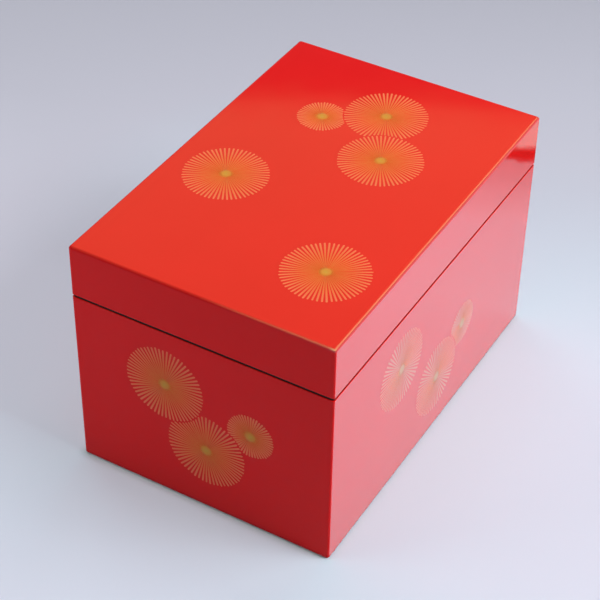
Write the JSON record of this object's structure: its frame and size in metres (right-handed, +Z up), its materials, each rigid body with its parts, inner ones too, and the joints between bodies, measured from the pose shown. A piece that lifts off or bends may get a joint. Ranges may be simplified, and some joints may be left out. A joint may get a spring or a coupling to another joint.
{
  "type": "lacquer tea utensil box",
  "caption": "Portable lacquered wooden box for tea utensils, with a flush lift-off lid over an inner lip and a tray that hangs inside by its rim.",
  "frame": {"origin": "centre of the box's footprint, on the surface that it stands on", "axes": "+X along the long sides, +Z up; -Y is the front long side and -X the left short side"},
  "size_m": [0.21, 0.14, 0.131],
  "materials": {
    "vermilion_lacquer": "polished vermilion lacquer over wood",
    "black_lacquer": "polished black lacquer over wood",
    "peg_wood": "plain split wood",
    "gold_powder": "fine gold powder laid on the lacquer, softly burnished"
  },
  "bodies": {
    "box_body": {"body_front": "vermilion_lacquer", "body_back": "vermilion_lacquer", "body_left": "vermilion_lacquer", "body_right": "vermilion_lacquer", "body_bottom": "vermilion_lacquer", "body_peg_front_left_1": "peg_wood", "body_peg_front_left_2": "peg_wood", "body_peg_front_left_3": "peg_wood", "body_peg_front_left_4": "peg_wood", "body_peg_front_left_5": "peg_wood", "body_peg_front_right_1": "peg_wood", "body_peg_front_right_2": "peg_wood", "body_peg_front_right_3": "peg_wood", "body_peg_front_right_4": "peg_wood", "body_peg_front_right_5": "peg_wood", "body_peg_back_left_1": "peg_wood", "body_peg_back_left_2": "peg_wood", "body_peg_back_left_3": "peg_wood", "body_peg_back_left_4": "peg_wood", "body_peg_back_left_5": "peg_wood", "body_peg_back_right_1": "peg_wood", "body_peg_back_right_2": "peg_wood", "body_peg_back_right_3": "peg_wood", "body_peg_back_right_4": "peg_wood", "body_peg_back_right_5": "peg_wood", "lining_front": "black_lacquer", "lining_back": "black_lacquer", "lining_left": "black_lacquer", "lining_right": "black_lacquer"},
    "lid": {"lid_front": "vermilion_lacquer", "lid_back": "vermilion_lacquer", "lid_left": "vermilion_lacquer", "lid_right": "vermilion_lacquer", "lid_top": "vermilion_lacquer", "lid_peg_front_left_1": "peg_wood", "lid_peg_front_left_2": "peg_wood", "lid_peg_front_left_3": "peg_wood", "lid_peg_front_right_1": "peg_wood", "lid_peg_front_right_2": "peg_wood", "lid_peg_front_right_3": "peg_wood", "lid_peg_back_left_1": "peg_wood", "lid_peg_back_left_2": "peg_wood", "lid_peg_back_left_3": "peg_wood", "lid_peg_back_right_1": "peg_wood", "lid_peg_back_right_2": "peg_wood", "lid_peg_back_right_3": "peg_wood"},
    "tray": {"tray_floor": "black_lacquer", "tray_front": "black_lacquer", "tray_back": "black_lacquer", "tray_left": "black_lacquer", "tray_right": "black_lacquer", "tray_rim_front": "black_lacquer", "tray_rim_back": "black_lacquer", "tray_rim_left": "black_lacquer", "tray_rim_right": "black_lacquer"}
  },
  "joints": [
    {"name": "lid_lift", "type": "slide", "parent": "box_body", "child": "lid", "axis": [0, 0, 1], "range_m": [0, 0.2]},
    {"name": "tray_lift", "type": "slide", "parent": "box_body", "child": "tray", "axis": [0, 0, 1], "range_m": [0, 0.1]}
  ],
  "couplings": [
    {"joint": "tray_lift", "follows": "lid_lift", "ratio": 0.5}
  ]
}
